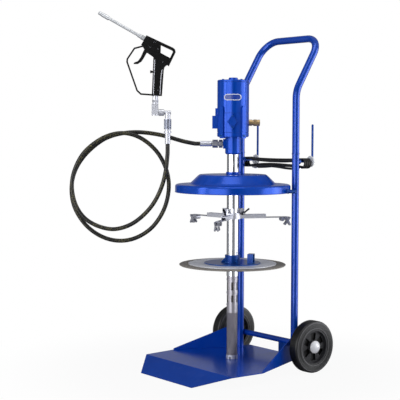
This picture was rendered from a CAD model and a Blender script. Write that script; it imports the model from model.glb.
# %% [markdown]
# # A mobile grease unit
# A drum trolley carries an air-operated grease pump. The trolley, the pump and the
# gun were built as solids, in millimetres, before this lesson starts. Here they are
# loaded as they are, and each surface gets the finish that the real one has. What a
# solid model leaves out, such as weld beads, a rolled edge or the lie of a rubber
# hose, is modelled on top.

# %% Load the solid model
import math

import bmesh
import bpy
from mathutils import Matrix, Vector


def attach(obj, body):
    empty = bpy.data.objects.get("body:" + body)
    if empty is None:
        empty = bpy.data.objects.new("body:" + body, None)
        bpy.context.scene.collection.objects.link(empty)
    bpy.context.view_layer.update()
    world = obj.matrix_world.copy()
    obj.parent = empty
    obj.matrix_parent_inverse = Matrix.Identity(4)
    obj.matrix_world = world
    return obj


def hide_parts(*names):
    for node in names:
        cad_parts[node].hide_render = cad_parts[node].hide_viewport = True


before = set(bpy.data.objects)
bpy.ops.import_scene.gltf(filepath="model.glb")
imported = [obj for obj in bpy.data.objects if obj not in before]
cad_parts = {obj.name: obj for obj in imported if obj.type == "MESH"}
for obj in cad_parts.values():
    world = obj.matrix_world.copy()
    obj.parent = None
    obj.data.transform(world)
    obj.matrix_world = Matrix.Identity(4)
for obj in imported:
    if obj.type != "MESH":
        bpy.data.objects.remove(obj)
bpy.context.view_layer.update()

# %% [markdown]
# The camera stands where the photographer stood: low, far away and a little to the
# right of the lip, with a long lens. A long lens keeps the posts parallel, so it is
# the first thing to settle. Its place was found by fitting the wheels and the plate.

# %% Place the camera
LOOK_ROUND = math.radians(51.43)   # from straight ahead towards the left
LOOK_DOWN = math.radians(3.59)
ROLL = math.radians(0.18)
STANDPOINT = (3.2313, -2.738, 0.8815)
SENSOR, LENS = 36, 98.92           # millimetres
SIGHT = 60                         # how far the camera sees, in metres


def look_axes():
    """The camera's right, up and forward directions."""
    ahead = Vector((-math.sin(LOOK_ROUND) * math.cos(LOOK_DOWN),
                    math.cos(LOOK_ROUND) * math.cos(LOOK_DOWN), -math.sin(LOOK_DOWN)))
    right = Vector((math.cos(LOOK_ROUND), math.sin(LOOK_ROUND), 0))
    up = right.cross(ahead)
    return (right * math.cos(ROLL) + up * math.sin(ROLL),
            up * math.cos(ROLL) - right * math.sin(ROLL), ahead)


def placed(name, data):
    """A new object in the scene."""
    thing = bpy.data.objects.new(name, data)
    bpy.context.scene.collection.objects.link(thing)
    return thing


camera = placed("camera", bpy.data.cameras.new("camera"))
side, up, ahead = look_axes()
camera.matrix_world = Matrix(
    [(side[i], up[i], -ahead[i], STANDPOINT[i]) for i in range(3)] + [(0, 0, 0, 1)])
camera.data.sensor_width = SENSOR
camera.data.lens = LENS
camera.data.clip_end = SIGHT
bpy.context.scene.camera = camera
print("lens", round(camera.data.lens, 1), "mm")

# %% [markdown]
# A material is a small sum: noise plus a tint, times a mask. Written as nodes, that
# sum is hard to read. So one class wraps a node's output and lets Python's own
# operators add the Math nodes, and a second one holds the material being mixed.


# %% Write shader sums as Python
class Signal:
    """One output of a node. Sums with numbers or other signals add Math nodes."""

    def __init__(self, finish, socket):
        self.finish = finish
        self.socket = socket

    def maths(self, operation, first, second):
        return self.finish.node("ShaderNodeMath", {"operation": operation},
                                {0: first, 1: second})

    def __add__(self, other):
        return self.maths("ADD", self, other)

    def __radd__(self, other):
        return self.maths("ADD", other, self)

    def __sub__(self, other):
        return self.maths("SUBTRACT", self, other)

    def __rsub__(self, other):
        return self.maths("SUBTRACT", other, self)

    def __mul__(self, other):
        return self.maths("MULTIPLY", self, other)

    def __rmul__(self, other):
        return self.maths("MULTIPLY", other, self)

    def sine(self):
        return self.maths("SINE", self, 0)

    def absolute(self):
        return self.maths("ABSOLUTE", self, 0)

    def over(self, edge, soft):
        """0 below the edge, 1 above it, with a soft step between."""
        return self.finish.node("ShaderNodeMapRange", {"interpolation_type": "SMOOTHSTEP"},
                                {"Value": self, "From Min": edge - soft,
                                 "From Max": edge + soft})


class Tree:
    """Nodes of one tree, made by type, settings and sockets."""

    def __init__(self, tree):
        self.tree = tree
        self.tree.nodes.clear()

    def node(self, kind, settings=None, inputs=None, output=0):
        made = self.tree.nodes.new(kind)
        for name, value in (settings or {}).items():
            setattr(made, name, value)
        for name, value in (inputs or {}).items():
            if isinstance(value, Signal):
                self.tree.links.new(value.socket, made.inputs[name])
            else:
                made.inputs[name].default_value = value
        return Signal(self, made.outputs[output])

    def facing(self, direction, towards):
        """How well a direction agrees with another one, -1 to 1."""
        return self.node("ShaderNodeVectorMath", {"operation": "DOT_PRODUCT"},
                         {0: direction, 1: towards}, "Value")

    def length(self, vector):
        return self.node("ShaderNodeVectorMath", {"operation": "LENGTH"}, {0: vector},
                         "Value")

    def shown(self, kind, shader):
        output = self.tree.nodes.new(kind)
        self.tree.links.new(shader.socket, output.inputs[0])


class Finish(Tree):
    """A material in the making, with the places and patterns that finishes share."""

    def __init__(self, name):
        self.material = bpy.data.materials.new(name)
        self.material.use_nodes = True
        super().__init__(self.material.node_tree)
        self.place = self.node("ShaderNodeTexCoord", {}, {}, "Object")

    def stretched(self, scale):
        return self.node("ShaderNodeVectorMath", {"operation": "MULTIPLY"},
                         {0: self.place, 1: scale})

    def along(self, axis):
        """The place along one axis, in metres: 0 is x, 1 is y and 2 is z."""
        return self.node("ShaderNodeSeparateXYZ", {}, {0: self.place}, axis)

    def from_pump(self):
        """How far out from the pump's axis, in metres."""
        return self.length(self.stretched((1, 1, 0)))

    def cloud(self, size, detail=3, rough=0.55, stretch=None):
        """Soft noise whose lumps are about `size` metres across."""
        place = self.stretched(stretch) if stretch else self.place
        return self.node("ShaderNodeTexNoise", {}, {"Vector": place, "Scale": 1 / size,
                                                    "Detail": detail, "Roughness": rough})

    def tint(self, share, first, second):
        return self.node("ShaderNodeMix", {"data_type": "RGBA"},
                         {0: share, 6: first, 7: second}, 2)

    def edge(self, width):
        """A normal that is rounded within `width` of each edge, and a mask that is 1 on
        sharp edges and 0 on flats, where the rounded normal agrees with the true one."""
        rounded = self.node("ShaderNodeBevel", {"samples": 4}, {"Radius": width})
        true = self.node("ShaderNodeNewGeometry", {}, {}, "Normal")
        return rounded, (1 - self.facing(rounded, true)).over(0.06, soft=0.05)

    def bump(self, height, depth, strength, normal=None):
        inputs = {"Height": height, "Distance": depth, "Strength": strength}
        if normal is not None:
            inputs["Normal"] = normal
        return self.node("ShaderNodeBump", {}, inputs)

    def done(self, **sockets):
        shader = self.node("ShaderNodeBsdfPrincipled", {},
                           {k.replace("_", " "): v for k, v in sockets.items()})
        self.shown("ShaderNodeOutputMaterial", shader)
        return self.material


def rgb(code):
    """A colour as painters give it, #rrggbb, in the linear values that shaders use."""
    parts = [int(code[i:i + 2], 16) / 255 for i in (1, 3, 5)]
    return tuple(p / 12.92 if p <= 0.04045 else ((p + 0.055) / 1.055) ** 2.4
                 for p in parts) + (1.0,)


print("a mid grey is", round(rgb("#808080")[0], 3), "in linear light")

# %% [markdown]
# Two hoses belong to the unit. The thick one carries grease from the pump to the gun,
# and lies in one and a half turns beside the pump. The thin one brings air, and is
# wound round the two hooks behind the posts. A rubber hose is one round section swept
# along a smooth line, so each is a mesh tube, with extra points put between the ones
# of the solid model by the four-point rule, which passes through every given point.

# %% A line through points, and a tube along it
MM = 0.001


def finer(points, straight_start, straight_end):
    """Puts a point between each pair. The first and last stretches stay straight."""
    last = len(points) - 1
    out = []
    for i in range(last):
        a, b = points[i], points[i + 1]
        out.append(a)
        if i < straight_start or i >= last - straight_end:
            out.append((a + b) / 2)
        else:
            out.append((9 * (a + b) - points[max(i - 1, 0)] - points[min(i + 2, last)]) / 16)
    out.append(points[last])
    return out


def line_length(points):
    return sum((b - a).length for a, b in zip(points, points[1:]))


def link(name, mesh, body, finish=None, smooth=True):
    """A mesh becomes an object that rides on a body."""
    thing = placed(name, mesh)
    if smooth:
        for face in mesh.polygons:
            face.use_smooth = True
    if finish:
        mesh.materials.append(finish)
    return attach(thing, body)


def tube_mesh(name, points, radius, sides=16):
    """A closed tube along a line of points. radius is a number, or a function of the
    share of the way along."""
    verts, faces = [], []
    start = (points[1] - points[0]).normalized()
    across = start.orthogonal().normalized()
    last = len(points) - 1
    for i, p in enumerate(points):
        run = (points[min(i + 1, last)] - points[max(i - 1, 0)]).normalized()
        across = (across - run * across.dot(run)).normalized()
        other = run.cross(across)
        r = radius(i / last) if callable(radius) else radius
        for k in range(sides):
            a = 2 * math.pi * k / sides
            verts.append(p + r * (math.cos(a) * across + math.sin(a) * other))
    for i in range(last):
        for k in range(sides):
            m = (k + 1) % sides
            faces.append((i * sides + k, i * sides + m, (i + 1) * sides + m,
                          (i + 1) * sides + k))
    faces.append(tuple(range(sides - 1, -1, -1)))
    faces.append(tuple(last * sides + k for k in range(sides)))
    mesh = bpy.data.meshes.new(name)
    mesh.from_pydata(verts, [], faces)
    mesh.update()
    return mesh


print("four-point rule ready")

# %% [markdown]
# The grease hose's route is given in its own upright plane: how far across, how far
# back, and how high. It leaves the pump level, climbs a little, falls into the loop
# and comes up under the gun.

# %% The grease hose
HOSE_TURN = math.radians(51.4)
ACROSS = Vector((math.cos(HOSE_TURN), math.sin(HOSE_TURN), 0))
BACK = Vector((-math.sin(HOSE_TURN), math.cos(HOSE_TURN), 0))
GREASE_HOSE_R = 0.008


def in_hose_plane(s, back, z):
    return (s * ACROSS + back * BACK + Vector((0, 0, z))) * MM


GREASE_ROUTE = [
    (-126, 0, 833), (-144, 0, 833), (-191, 0, 842), (-240, 0, 856), (-284, 0, 867),
    (-354, 0, 876), (-424, 0, 872), (-494, -1, 850), (-560, -2, 798), (-604, -3, 735),
    (-621, -4, 665), (-610, -5, 588), (-566, -6, 518), (-505, -7, 474), (-439, -9, 458),
    (-372, -11, 470), (-308, -14, 513), (-263, -17, 584), (-246, -20, 664),
    (-257, -22, 738), (-295, -23, 806), (-357, -24, 856), (-428, -24, 873),
    (-502, -24, 852), (-572, -25, 796), (-610, -26, 720), (-616, -27, 650),
    (-594, -29, 580), (-545, -32, 530), (-462, -36, 505), (-380, -39, 530),
    (-310, -42, 596), (-270, -44, 676), (-254, -45, 750), (-250, -45, 797),
    (-250, -45, 815), (-250, -45, 833)]
grease_line = [in_hose_plane(*p) for p in GREASE_ROUTE]
for straight in (1, 2, 4):
    grease_line = finer(grease_line, straight, 3 * straight)
grease_hose = link("grease_hose_skin",
                   tube_mesh("grease_hose_skin", grease_line, GREASE_HOSE_R, 20), "pump")
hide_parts("grease_hose")
print("grease hose", round(line_length(grease_line), 3), "m")

# %% [markdown]
# The air hose is wound like a hank of rope. Each turn runs below, round the left hook,
# back above and round the right hook, and moves one pitch further back on its way.
# Each strand has its own share of the sag, and of the rise below, so that from the
# side they don't hide one another.

# %% The coiled air hose
AIR_HOSE_R = 0.0045
HALF, BEHIND, MIDDLE = 160, 205, 757.8     # the hooks' places, in millimetres
PITCH, BEND_R = 9.6, 16
RISE, SAG, TAIL = 10, 12, 7
TAIL_SHARES = (1, 0.9, 0.5, 0.2)
SAG_SHARES = (0.9, 0.3, 0.65, 1, 0.45)
RISE_SHARES = (0.25, 1, 0.5, 0.85, 0.35, 0.7)
RUN, BEND = 8, 3                           # stretches of a run, points round a hook
BACK_RUN = RUN + BEND + 1                  # where the upper run starts
STEPS = 2 * BACK_RUN
TURNS, TURN_ANGLE = 4, 180 // (BEND + 1)
FIRST, LAST = 1, TURNS * STEPS + RUN - 1


def bow(x):
    """1 midway between the hooks and 0 at them."""
    return 1 - (x / HALF) ** 2


def round_hook(x, y, degrees):
    a = math.radians(degrees)
    return Vector((x + BEND_R * math.cos(a), y, MIDDLE + BEND_R * math.sin(a))) * MM


def hank_point(n):
    turn, k = divmod(n, STEPS)
    step, y = 2 * HALF / RUN, BEHIND + turn * PITCH
    if k <= RUN:
        x = HALF - step * k
        near = min(n - FIRST, LAST - n)
        drop = TAIL * TAIL_SHARES[near] if near < len(TAIL_SHARES) else 0
        z = MIDDLE - BEND_R + RISE * RISE_SHARES[turn] * bow(x)
        return Vector((x, y, z - drop)) * MM
    if k < BACK_RUN:
        return round_hook(-HALF, y, 270 - TURN_ANGLE * (k - RUN))
    back = k - BACK_RUN
    if back <= RUN:
        x = -HALF + step * back
        z = MIDDLE + BEND_R - SAG * SAG_SHARES[turn] * bow(x)
        return Vector((x, y + PITCH * back / RUN, z)) * MM
    return round_hook(HALF, y + PITCH, 90 - TURN_ANGLE * (back - RUN))


LEAD = Vector((0.012, 0, 0))
hank_line = [hank_point(n) for n in range(FIRST, LAST + 1)]
hank_line = [hank_line[0] + LEAD] + hank_line + [hank_line[-1] - LEAD]
for straight in (1, 2):
    hank_line = finer(hank_line, straight, straight)
air_hose = link("air_hose_skin", tube_mesh("air_hose_skin", hank_line, AIR_HOSE_R, 12),
                "trolley")
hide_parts("air_hose_hank")
print("air hose", round(line_length(hank_line), 3), "m")

# %% [markdown]
# The trolley, the cover and the follower wear a royal blue stove enamel. The sprayed
# film is uneven and has an orange-peel skin: two noises of different size. Finer ones
# add workshop dust and scuffs, and a bevel finds the sharp edges, where the film is
# thin and pale. A small metallic share keeps the blue pure, because a metal tints what
# it mirrors. The bent tubes are the glossiest, the small painted fittings the dullest.


# %% Stove enamel
PALE_BLUE, SKY_BLUE, WORKSHOP_DUST = rgb("#4a6cd0"), rgb("#4c9cf0"), rgb("#a9b4c8")
PEEL_DEPTH = 0.00001
UNEVEN = 0.04            # what film, dust and scuffs each add to the roughness


def enamel(name, colour, deep, gloss=0.19, edge=PALE_BLUE, edge_share=0.3, coat=0.08):
    f = Finish(name)
    rounded, worn = f.edge(width=0.0012)
    film = f.cloud(0.09, detail=2)
    peel = f.cloud(0.004, detail=2, rough=0.5)
    bloom = f.cloud(0.03, detail=5, rough=0.65).over(0.62, soft=0.12)
    scuff = f.cloud(0.006, detail=6, rough=0.7, stretch=(1, 1, 0.25)).over(0.68, soft=0.03)
    base = f.tint(film, deep, colour)
    base = f.tint(worn * edge_share, base, edge)
    base = f.tint(bloom * 0.015 + scuff * 0.01, base, WORKSHOP_DUST)
    return f.done(Base_Color=base, Roughness=gloss + UNEVEN * (film + bloom + scuff),
                  Metallic=0.3, Specular_IOR_Level=0.22, Coat_Weight=coat,
                  Coat_Roughness=0.09, Normal=f.bump(peel, PEEL_DEPTH, 0.5, rounded))


blue_enamel = enamel("blue_enamel", rgb("#0248b8"), rgb("#023da4"))
tube_enamel = enamel("tube_enamel", rgb("#0242ae"), rgb("#023898"), gloss=0.14, coat=0.35)
deep_enamel = enamel("deep_enamel", rgb("#023f94"), rgb("#023480"), gloss=0.26,
                     edge=SKY_BLUE, edge_share=1)
print("enamels:", blue_enamel.name, tube_enamel.name, deep_enamel.name)

# %% [markdown]
# Fittings and clamp are steel with a zinc coat: bright, faintly clouded by its
# crystals, and drawn or rolled in one direction. The same sum with other colours makes
# the ground pump tube, smoother and with fine lines round it, the brass inlet, the
# follower's disc and the wheels' caps. A metallic share below 1 scatters some light,
# as a thin coat does, so those pieces look paler. Where grease has stayed, inside the
# slotted tube and on the pump rod, the steel is dark.


# %% Zinc, ground steel and brass
ZINC, ZINC_SHADE = rgb("#e9eaf0"), rgb("#b4b6c0")
BRIGHT_EDGE, COLLAR_GREY, OLD_GREASE = rgb("#f2f4f6"), rgb("#8b8f9d"), rgb("#242120")
LENGTHWAYS = (40, 40, 1)
SCRATCH_DEPTH = 0.00003


def plated(name, light, shade, rough, lines=LENGTHWAYS, metal=1.0, dark_band=None,
           dark_inside=None):
    """lines is how much the drawn lines are squeezed along x, y and z. dark_band is a
    lower and an upper height, dark_inside a distance from the pump's axis."""
    f = Finish(name)
    rounded, worn = f.edge(width=0.0005)
    crystals = f.cloud(0.006, detail=4, rough=0.6)
    drawn = f.cloud(0.012, detail=3, rough=0.6, stretch=lines)
    stain = f.cloud(0.05, detail=4, rough=0.6).over(0.6, soft=0.15)
    base = f.tint(crystals * 0.5 + drawn * 0.4, shade, light)
    base = f.tint(stain * 0.25, base, shade)
    base = f.tint(worn * 0.4, base, BRIGHT_EDGE)
    if dark_inside:
        inside = 1 - f.from_pump().over(dark_inside, soft=0.0004)
        base = f.tint(inside, base, OLD_GREASE)
    if dark_band:
        low, high = dark_band
        height = f.along(2)
        band = height.over(low, soft=0.0005) * (1 - height.over(high, soft=0.0005))
        base = f.tint(band, base, COLLAR_GREY)
    return f.done(Base_Color=base, Metallic=metal,
                  Roughness=rough + 0.12 * drawn + 0.1 * stain,
                  Normal=f.bump(drawn + crystals * 0.5, SCRATCH_DEPTH, 0.5, rounded))


zinc_coat = plated("zinc_coat", ZINC, ZINC_SHADE, 0.3, metal=0.7)
elbow_zinc = plated("elbow_zinc", ZINC, ZINC_SHADE, 0.3, metal=0.7,
                    dark_band=(0.888, 0.926))
rolled_zinc = plated("rolled_zinc", rgb("#c4c5ce"), rgb("#7e808a"), 0.24, metal=0.75)
wire_zinc = plated("wire_zinc", rgb("#e6e8ea"), rgb("#babdc2"), 0.24, (1, 1, 40),
                   metal=0.7)
ground_tube = plated("ground_tube", rgb("#eeeff2"), rgb("#cdd0d6"), 0.07, (1, 1, 60))
disc_steel = plated("disc_steel", rgb("#eef0f5"), rgb("#ced0d8"), 0.3, (3, 3, 3),
                    metal=0.3)
turned_brass = plated("turned_brass", rgb("#dcc193"), rgb("#a8895a"), 0.26, (4, 4, 4),
                      metal=0.7)
greased_rod = plated("greased_rod", rgb("#7d7876"), rgb("#4d4947"), 0.38, (1, 1, 40),
                     metal=0.5)
oxide_steel = plated("oxide_steel", rgb("#4c4e54"), rgb("#26272b"), 0.3, (4, 4, 4))
polished_cap = plated("polished_cap", rgb("#fafafc"), rgb("#e6e7ec"), 0.22, (6, 6, 6),
                      metal=0.15)
slotted_steel = plated("slotted_steel", rgb("#c9c6cd"), rgb("#8f8c94"), 0.3, (1, 1, 50),
                       metal=0.75, dark_inside=0.0202)
print("metals:", zinc_coat.name, ground_tube.name, oxide_steel.name)

# %% [markdown]
# The strainer at the bottom of the pump is a sleeve of fine wire cloth, dark with old
# grease. Two sets of slanting lines make a diamond weave: one is a sine of the angle
# round the tube plus the height, the other of the angle minus the height.


# %% Wire cloth
def wire_cloth(name, count, rise):
    """count wires lean each way, by rise radians of the sine for a metre of height."""
    f = Finish(name)
    x, y, z = (f.along(axis) for axis in range(3))
    turn = x.maths("ARCTAN2", y, x)
    one = (turn * count + z * rise).sine()
    two = (turn * count - z * rise).sine()
    weave = one.maths("MAXIMUM", one, two)
    grease = f.cloud(0.02, detail=4, rough=0.6).over(0.5, soft=0.2)
    base = f.tint(weave.over(0.35, soft=0.3), rgb("#2c2a2d"), rgb("#b3aeb5"))
    base = f.tint(grease * 0.3, base, rgb("#4a4740"))
    return f.done(Base_Color=base, Metallic=0.75, Roughness=0.42 - 0.14 * grease,
                  Normal=f.bump(weave, 0.0006, 0.8))


strainer_cloth = wire_cloth("strainer_cloth", count=36, rise=1700)
print("weave:", strainer_cloth.name)

# %% [markdown]
# Two things are black. The gun is a die casting with a smooth paint, rubbed shiny where
# a hand holds it. The wheels' centres are moulded nylon, duller and faintly pebbled,
# and the faces of their spokes have worn to a dark grey.


# %% Gun paint and black nylon
WHEEL_MIDDLE = 0.2305    # from the trolley's middle to the middle of a wheel
SPOKE_FACE = 0.009       # from the middle of a wheel to the faces of its spokes
RUBBED_BLACK = rgb("#4a4c50")


def black_coat(name, colour, pale, rough, pebble, depth, specular, spokes=None):
    f = Finish(name)
    rounded, worn = f.edge(width=0.0007)
    pebbles = f.cloud(pebble, detail=2, rough=0.5)
    patch = f.cloud(0.04, detail=4, rough=0.6)
    base = f.tint(patch * 0.5, colour, pale)
    if spokes:
        off = (f.along(0).absolute() - WHEEL_MIDDLE).absolute()
        base = f.tint(off.over(SPOKE_FACE - 0.0015, soft=0.001), base, spokes)
    base = f.tint(worn * 0.3, base, RUBBED_BLACK)
    return f.done(Base_Color=base, Roughness=rough + 0.12 * patch,
                  Specular_IOR_Level=specular,
                  Normal=f.bump(pebbles, depth, 0.7, rounded))


gun_paint = black_coat("gun_paint", rgb("#060606"), rgb("#0d0d0d"), rough=0.24,
                       pebble=0.0007, depth=0.00003, specular=0.2)
rim_nylon = black_coat("rim_nylon", rgb("#060606"), rgb("#0c0c0c"), rough=0.36,
                       pebble=0.0012, depth=0.00008, specular=0.22,
                       spokes=rgb("#2f2f32"))
print("black coats:", gun_paint.name, rim_nylon.name)

# %% [markdown]
# Rubber shows its age. The hoses have a cloth-marked skin with olive and brown bloom.
# The tyres have fine moulded rings with dust between them, and two wider rings on their
# walls that are rubbed grey. The follower's seal is a warm grey with rings that the
# drum's wall has wiped on it.


# %% Rubber
def rubber(name, colour, bloom, bloom_share, rough, skin=0.0009, fleck_share=0.0):
    f = Finish(name)
    skin_grain = f.cloud(skin, detail=3, rough=0.6)
    patches = f.cloud(0.035, detail=4, rough=0.62).over(0.56, soft=0.14)
    dust = f.cloud(0.004, detail=5, rough=0.7).over(0.6, soft=0.1)
    base = f.tint(patches * bloom_share, colour, bloom)
    base = f.tint(dust * 0.1, base, rgb("#77746c"))
    if fleck_share:
        stretch = f.cloud(0.05, detail=2).over(0.5, soft=0.06)
        flecks = f.cloud(0.0035, detail=3, rough=0.7).over(0.58, soft=0.04)
        base = f.tint(stretch * flecks * fleck_share, base, rgb("#8f8853"))
    return f.done(Base_Color=base, Roughness=rough + 0.15 * patches + 0.1 * dust,
                  Specular_IOR_Level=0.4, Normal=f.bump(skin_grain, 0.0001, 0.7))


AXLE_Y, AXLE_Z = 0.20505, 0.057
RUBBED_RINGS = (0.0712, 0.0925)
RUBBED_HALF, RUBBED_SOFT = 0.0011, 0.0007
MOULD_LINES = 1500       # radians of the sine for a metre outwards
WIPED_LINES = 900


def tyre_rubber(name, colour, pale):
    f = Finish(name)
    off = f.node("ShaderNodeVectorMath", {"operation": "SUBTRACT"},
                 {0: f.place, 1: (0, AXLE_Y, AXLE_Z)})
    level = f.node("ShaderNodeVectorMath", {"operation": "MULTIPLY"}, {0: off, 1: (0, 1, 1)})
    out = f.length(level)
    rings = (out * MOULD_LINES).sine()
    dust = f.cloud(0.008, detail=5, rough=0.7).over(0.55, soft=0.15)
    base = f.tint(dust * 0.4 + rings.over(0.4, soft=0.3) * 0.12, colour, pale)
    for radius in RUBBED_RINGS:
        rubbed = 1 - (out - radius).absolute().over(RUBBED_HALF, RUBBED_SOFT)
        base = f.tint(rubbed * 0.5, base, rgb("#77757a"))
    return f.done(Base_Color=base, Roughness=0.37 + 0.18 * dust, Specular_IOR_Level=0.5,
                  Normal=f.bump(rings * 0.5 + f.cloud(0.002, detail=2) * 0.4, 0.0005, 0.8))


def ringed_rubber(name, colour, pale):
    f = Finish(name)
    rings = (f.from_pump() * WIPED_LINES + f.cloud(0.05) * 3).sine()
    wiped = f.cloud(0.03, detail=5, rough=0.65)
    base = f.tint(wiped * 0.8, colour, pale)
    return f.done(Base_Color=base, Roughness=0.5 + 0.2 * wiped,
                  Normal=f.bump(rings * 0.3 + wiped, 0.0002, 0.6))


hose_skin = rubber("hose_skin", rgb("#10100f"), rgb("#201f18"), bloom_share=0.6,
                   rough=0.34, skin=0.0012, fleck_share=0.6)
air_skin = rubber("air_skin", rgb("#0f0f10"), rgb("#1d1d1e"), bloom_share=0.5, rough=0.36)
tyre_skin = tyre_rubber("tyre_skin", rgb("#0b0b0c"), rgb("#232325"))
seal_skin = ringed_rubber("seal_skin", rgb("#6a655f"), rgb("#9a948b"))
grease_hose.data.materials.append(hose_skin)
air_hose.data.materials.append(air_skin)
print("rubbers:", hose_skin.name, tyre_skin.name, seal_skin.name)

# %% [markdown]
# Two small plastics are left: the pale stop discs on the hooks, and the plain name
# plate on the motor, which stays blank.


# %% Pale plastic and the blank plate
def moulded(name, colour, pale):
    f = Finish(name)
    rounded = f.edge(width=0.0004)[0]
    flow = f.cloud(0.012)
    base = f.tint(flow, colour, pale)
    return f.done(Base_Color=base, Roughness=0.3 + 0.1 * flow, Coat_Weight=0.2,
                  Coat_Roughness=0.15,
                  Normal=f.bump(f.cloud(0.0012, detail=2), 0.00003, 0.5, rounded))


pale_disc = moulded("pale_disc", rgb("#d8dade"), rgb("#eceef0"))
plate_face = moulded("plate_face", rgb("#0c2f86"), rgb("#123a9c"))
plate_rim = moulded("plate_rim", rgb("#e4e6ea"), rgb("#f4f5f7"))
print("plastics:", pale_disc.name, plate_face.name)

# %% [markdown]
# The solids keep their shape and only change their coat. One table says who wears what.

# %% Dress the solids
WEARS = {
    blue_enamel: "base_plate side_panel_left side_panel_right drum_cover pump_neck"
                 " motor_base valve_body valve_cover motor_cylinder motor_cap"
                 " motor_plug exhaust_box",
    tube_enamel: "post_left post_right handle_bar axle_tube",
    deep_enamel: "axle_web rim_nuts follower_plate valve_screws rim_screw_front"
                 " rim_screw_rear hose_hook_left hose_hook_right",
    zinc_coat: "axle_rod pump_foot clamp_hub swivel_block air_piston hose_ferrules"
               " hank_fittings",
    rolled_zinc: "outlet_adapter arm_bar_a arm_bar_b arm_bar_c",
    elbow_zinc: "swivel_elbow",
    wire_zinc: "nozzle_tube",
    greased_rod: "pump_rod",
    oxide_steel: "clamp_lever_a clamp_lever_b",
    ground_tube: "pump_tube",
    disc_steel: "follower_disc",
    turned_brass: "air_inlet",
    polished_cap: "cap_left cap_right",
    strainer_cloth: "strainer_sleeve",
    slotted_steel: "slotted_tube",
    gun_paint: "gun_body gun_guard trigger lock_button",
    rim_nylon: "rim_left rim_right",
    tyre_skin: "tyre_left tyre_right",
    seal_skin: "follower_seal",
    pale_disc: "hook_discs",
    plate_face: "badge_plate",
}
dressed = 0
for finish, names in WEARS.items():
    for name in names.split():
        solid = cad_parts[name]
        for place in solid.material_slots:
            place.link = "OBJECT"
            place.material = finish
        dressed += 1
print("dressed", dressed, "of", len(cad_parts), "solids")

# %% [markdown]
# The frame is welded. A fillet weld is a row of overlapping scales, so its bead is a
# thin tube whose thickness swells and falls along its length. The places are the corners
# where two solids meet, in metres, and those of the right side are mirrored to the left.


# %% Weld beads
SCALE_LONG = 0.0035      # one scale of a bead
SCALE_POINTS, BEAD_SIDES = 5, 8    # points for each scale, sides round a bead
THIN_SHARE = 0.86        # the thinnest part of a bead
UP, REARWARDS = Vector((0, 0, 1)), Vector((0, 1, 0))
POST_FOOT, HOOK_ROOT = (0.160, 0.180, 0.0006), (0.160, 0.1945, 0.765)
PANEL_FRONT, PANEL_REAR = (0.2655, -0.0740, 0.0008), (0.1720, 0.1564, 0.0008)
WEB_ENDS = (0.047, 0.2030, 0.0007), (0.144, 0.2030, 0.0007)
POST_RING_R, HOOK_RING_R = 0.0146, 0.0095


def evenly(points, count):
    """Points at equal distances along a line."""
    length = line_length(points)
    spread = []
    for i in range(count + 1):
        at = length * i / count
        for a, b in zip(points, points[1:]):
            step = (b - a).length
            if at <= step + 1e-9:
                spread.append(a + (b - a) * min(1, at / step))
                break
            at -= step
        else:
            spread.append(points[-1].copy())
    return spread


def bead(name, points, radius, finish):
    swell = line_length(points) / SCALE_LONG
    mesh = tube_mesh(name, evenly(points, max(8, int(swell * SCALE_POINTS))),
                     lambda share: radius * (THIN_SHARE + (1 - THIN_SHARE)
                                             * abs(math.sin(math.pi * swell * share))),
                     BEAD_SIDES)
    link(name, mesh, "trolley", finish)


def ring_points(centre, radius, around, count=36):
    one = around.orthogonal().normalized()
    two = around.cross(one)
    return [centre + radius * (math.cos(a) * one + math.sin(a) * two)
            for a in (math.radians(360 * i / count) for i in range(count + 1))]


for tag, hand in (("left", -1), ("right", 1)):
    foot, root, front, rear = (Vector((hand * x, y, z)) for x, y, z in
                               (POST_FOOT, HOOK_ROOT, PANEL_FRONT, PANEL_REAR))
    bead(f"weld_post_foot_{tag}", ring_points(foot, POST_RING_R, UP), 0.0016,
         blue_enamel)
    bead(f"weld_hook_{tag}", ring_points(root, HOOK_RING_R, REARWARDS), 0.0012,
         blue_enamel)
    bead(f"weld_panel_{tag}", [front, rear], 0.0015, blue_enamel)
bead("weld_web", [Vector(end) for end in WEB_ENDS], 0.0013, deep_enamel)
print("welds laid")

# %% [markdown]
# The drum cover is spun from sheet. Its rim ends in a rolled bead that stiffens it and
# catches a line of light, so a slim ring goes round the lower edge.

# %% The cover's rolled edge
COVER_FOOT, COVER_R, ROLL_R = 0.6485, 0.2218, 0.0016
rim_line = ring_points(Vector((0, 0, COVER_FOOT)), COVER_R, UP, count=120)
rolled = link("cover_rolled_edge", tube_mesh("cover_rolled_edge", rim_line, ROLL_R, 10),
              "cover", blue_enamel)
print("rolled edge round", round(line_length(rim_line), 2), "m of rim")

# %% [markdown]
# The name plate has a raised white border. Its outline is a stadium, wrapped on the
# round motor: straight runs above and below, half rounds at the ends.

# %% The plate's border
PUMP_TURN = math.radians(48)
MOTOR_R = 0.061
PLATE_WIDE, PLATE_TALL, PLATE_HEIGHT = 0.066, 0.024, 1.010
BORDER_INSET, BORDER_PROUD, BORDER_R = 0.003, 0.0006, 0.0013


def on_motor(u, z, r):
    """A point on the motor's round wall, u metres across from the plate's middle."""
    a = PUMP_TURN - math.pi / 2 + math.asin(u / r)
    return Vector((r * math.cos(a), r * math.sin(a), z))


def stadium(wide, tall, count=14):
    r = tall / 2
    reach = wide / 2 - r
    shares = [i / count for i in range(count + 1)]
    pts = [(reach * (1 - 2 * s), r) for s in shares[:-1]]
    pts += [(-reach - r * math.sin(math.pi * s), r * math.cos(math.pi * s))
            for s in shares[:-1]]
    pts += [(-reach * (1 - 2 * s), -r) for s in shares[:-1]]
    pts += [(reach + r * math.sin(math.pi * s), -r * math.cos(math.pi * s))
            for s in shares]
    return pts


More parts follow.
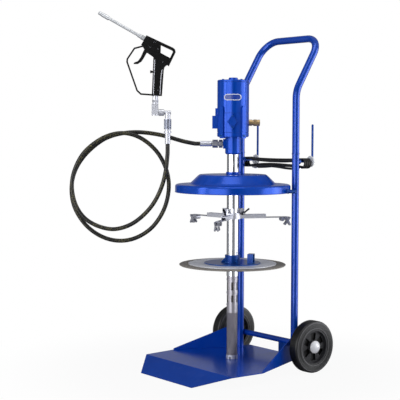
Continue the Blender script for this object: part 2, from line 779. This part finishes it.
border = [on_motor(u, PLATE_HEIGHT + z, MOTOR_R + BORDER_PROUD)
          for u, z in stadium(PLATE_WIDE - BORDER_INSET, PLATE_TALL - BORDER_INSET)]
plate_border = link("plate_border", tube_mesh("plate_border", border, BORDER_R, 8), "pump",
                    plate_rim)
print("border of", len(border), "points")

# %% [markdown]
# The motor is held together by socket screws, painted over with the rest: four in the
# top, one at the foot of each tie boss. A socket screw is a short drum with a six-sided
# hole, so it is built once as rings of faces and set down many times.


# %% Socket screws
SIDES = 24
FLAT = math.pi / 3       # the angle that one flat of the hole takes up
CAP_SCREWS = {"turns": (-50, 40, 130, 220), "out": 0.050, "height": 1.0765,
              "radius": 0.0042, "tall": 0.0032}
BOSS_SCREWS = {"turns": (-50, -130, 50, 130), "out": 0.0678, "height": 0.8640,
               "radius": 0.0045, "tall": 0.0030}


def finished(name, bm):
    """The faces built so far become a mesh."""
    mesh = bpy.data.meshes.new(name)
    bm.to_mesh(mesh)
    bm.free()
    return mesh


def screw_mesh(name, radius, tall):
    """A socket head standing on z = 0: a rounded drum with a six-sided hole."""
    bm = bmesh.new()
    angles = [2 * math.pi * k / SIDES for k in range(SIDES)]

    def ring(reach, z):
        """Points round the axis. reach is a radius for each angle."""
        return [bm.verts.new((r * math.cos(a), r * math.sin(a), z))
                for a, r in zip(angles, reach)]

    hole = [radius * 0.55 * (math.cos(FLAT / 2) / math.cos(a % FLAT - FLAT / 2))
            for a in angles]
    rings = [ring([radius] * SIDES, 0), ring([radius] * SIDES, tall * 0.8),
             ring([radius * 0.9] * SIDES, tall), ring(hole, tall), ring(hole, tall * 0.35)]
    for low, high in zip(rings, rings[1:]):
        for k in range(SIDES):
            m = (k + 1) % SIDES
            bm.faces.new((low[k], low[m], high[m], high[k]))
    bm.faces.new(list(reversed(rings[0])))
    bm.faces.new(rings[-1])
    return finished(name, bm)


def set_screws(name, radius, tall, spots, body, finish):
    """One object for a group of equal screws. A spot is a point and the way out of it."""
    bm = bmesh.new()
    one = screw_mesh(name + "_one", radius, tall)
    for at, out in spots:
        part = one.copy()
        turn = out.to_track_quat("Z", "Y").to_matrix().to_4x4()
        part.transform(Matrix.Translation(at) @ turn)
        bm.from_mesh(part)
        bpy.data.meshes.remove(part)
    bpy.data.meshes.remove(one)
    link(name, finished(name, bm), body, finish, smooth=False)


def round_pump(row):
    """The places of a row of screws round the motor, and the way out to each."""
    for turn in row["turns"]:
        a = PUMP_TURN + math.radians(turn)
        out = Vector((math.cos(a), math.sin(a), 0))
        yield out * row["out"] + UP * row["height"], out


cap_spots = [(at, UP) for at, _ in round_pump(CAP_SCREWS)]
set_screws("cap_screws", CAP_SCREWS["radius"], CAP_SCREWS["tall"], cap_spots,
           "pump", deep_enamel)
boss_spots = list(round_pump(BOSS_SCREWS))
set_screws("boss_screws", BOSS_SCREWS["radius"], BOSS_SCREWS["tall"], boss_spots,
           "pump", deep_enamel)
print("screws:", len(cap_spots) + len(boss_spots))

# %% [markdown]
# The gun's grip has two bright edge strips, where two castings meet a steel plate, and
# its body is held by small screws. The strips follow the grip's front and back edges.
# The gun hangs in the plane of the hose, so its places are millimetres in that plane.


# %% The gun's edge strips and screws
GUN_MIDDLE = -45                 # the gun's middle plane, in front of the hose's start
STRIP_HALF, STRIP_LOW, STRIP_HIGH = 1.5, 13.6, 14.4
FRONT_EDGE = (-303.6, 1019), (-302.3, 1060), (-300.4, 1110), (-298.6, 1150)
REAR_EDGE = (-278.8, 1019), (-276.5, 1060), (-273.9, 1092), (-270.8, 1112)
SCREW_PLACES = (-317, 1197), (-300, 1216), (-287, 1190), (-268, 1142), (-286, 1035)
SCREW_OUT = 13.9
SCREW_R, SCREW_TALL = 0.0033, 0.0012


def on_gun(s, out, z):
    return in_hose_plane(s, GUN_MIDDLE + out, z)


def strip(name, line, low, high):
    """A flat strip that follows a line of the gun's side, from `low` to `high` proud."""
    bm = bmesh.new()
    rows = []
    for i, (s, z) in enumerate(line):
        a, b = line[max(i - 1, 0)], line[min(i + 1, len(line) - 1)]
        run = Vector((b[0] - a[0], b[1] - a[1])).normalized()
        cross = Vector((run.y, -run.x)) * STRIP_HALF
        rows.append([bm.verts.new(on_gun(s + k * cross.x, out, z + k * cross.y))
                     for k, out in ((-1, low), (-0.7, high), (0.7, high), (1, low))])
    for a, b in zip(rows, rows[1:]):
        for k in range(4):
            m = (k + 1) % 4
            bm.faces.new((a[k], b[k], b[m], a[m]))
    bm.faces.new(rows[0])
    bm.faces.new(list(reversed(rows[-1])))
    bmesh.ops.recalc_face_normals(bm, faces=bm.faces)
    return finished(name, bm)


for tag, line in (("front", FRONT_EDGE), ("rear", REAR_EDGE)):
    for hand, sign in (("near", -1), ("far", 1)):
        name = f"grip_strip_{tag}_{hand}"
        piece = link(name, strip(name, line, sign * STRIP_LOW, sign * STRIP_HIGH), "gun",
                     zinc_coat, smooth=False)
gun_spots = [(on_gun(s, sign * SCREW_OUT, z), BACK * sign)
             for s, z in SCREW_PLACES for sign in (-1, 1)]
set_screws("gun_screws", SCREW_R, SCREW_TALL, gun_spots, "gun", oxide_steel)
print("strips and", len(gun_spots), "screws on the gun")

# %% [markdown]
# The unit stands in a white photographer's tent. Metal only looks like metal if it has
# something to mirror, so the tent has three pale walls, one left of the camera, one
# to its right and one behind the unit, and a faint roof, and stays dark between them.
# The two walls beside the camera have a bright strip each. The camera itself sees
# plain white, and a floor that fades to white all round.

# %% Floor, tent and lamps
FLOOR, FLOOR_HALF = -0.0432, 1.25
FADE_FROM, FADE_OVER = 0.75, 0.35
WHITE = (1, 1, 1, 1)
floor_mesh = bpy.data.meshes.new("floor")
floor_mesh.from_pydata([(x * FLOOR_HALF, y * FLOOR_HALF, FLOOR)
                        for x, y in ((-1, -1), (1, -1), (1, 1), (-1, 1))], [], [(0, 1, 2, 3)])
floor = placed("floor", floor_mesh)
f = Finish("pale_floor")
fade = 0.94 + 0.06 * f.length(f.place).over(FADE_FROM, FADE_OVER)
matt = f.node("ShaderNodeBsdfDiffuse", {}, {"Color": rgb("#a4a4a8")})
glow = f.node("ShaderNodeEmission", {}, {"Color": WHITE, "Strength": 1.0})
seen = f.node("ShaderNodeLightPath", {}, {}, "Is Camera Ray")
f.shown("ShaderNodeOutputMaterial",
        f.node("ShaderNodeMixShader", {}, {0: seen * fade, 1: matt, 2: glow}))
floor_mesh.materials.append(f.material)


def compass(degrees):
    """A level direction, counted from +X towards +Y."""
    return (math.cos(math.radians(degrees)), math.sin(math.radians(degrees)), 0)


DARK = 0.1
TENT = [   # direction, how close to it the wall starts (a cosine), softness, brightness
    (compass(-101), 0.6, 0.06, 0.35),
    (compass(-70), 0.94, 0.03, 3.4),
    (compass(41), 0.52, 0.06, 0.45),
    (compass(46), 0.9, 0.04, 3.4),
    (compass(140), 0.88, 0.06, 0.25),
    ((0, 0, 1), 0.72, 0.2, 0.4),
]
world = bpy.data.worlds.new("tent")
bpy.context.scene.world = world
world.use_nodes = True
t = Tree(world.node_tree)
gaze = t.node("ShaderNodeTexCoord", {}, {}, "Generated")
lit = DARK
for direction, rim, soft, bright in TENT:
    lit = lit + bright * t.facing(gaze, direction).over(rim, soft)
tent = t.node("ShaderNodeBackground", {}, {"Color": (0.97, 0.98, 1.0, 1), "Strength": lit})
white = t.node("ShaderNodeBackground", {}, {"Color": WHITE, "Strength": 1.0})
to_camera = t.node("ShaderNodeLightPath", {}, {}, "Is Camera Ray")
through = t.node("ShaderNodeLightPath", {}, {}, "Is Transmission Ray")
t.shown("ShaderNodeOutputWorld",
        t.node("ShaderNodeMixShader", {},
               {0: to_camera.maths("MAXIMUM", to_camera, through), 1: tent, 2: white}))


def lamp(name, spot, aim, size, watts):
    data = bpy.data.lights.new(name, "AREA")
    data.shape = "RECTANGLE"
    data.size, data.size_y = size
    data.energy = watts
    thing = placed(name, data)
    thing.location = spot
    thing.rotation_euler = (Vector(aim) - Vector(spot)).to_track_quat("-Z", "Y").to_euler()


lamp("left_lamp", spot=(-0.7, -3.6, 1.3), aim=(0, 0, 0.6), size=(1.0, 2.4), watts=36)
lamp("right_lamp", spot=(2.3, 2.9, 1.3), aim=(0, 0, 0.6), size=(0.8, 2.4), watts=12)
lamp("roof_lamp", spot=(0.5, -0.6, 3.4), aim=(0, 0, 0.5), size=(1.6, 1.6), watts=22)
bpy.context.scene.view_settings.view_transform = "Standard"
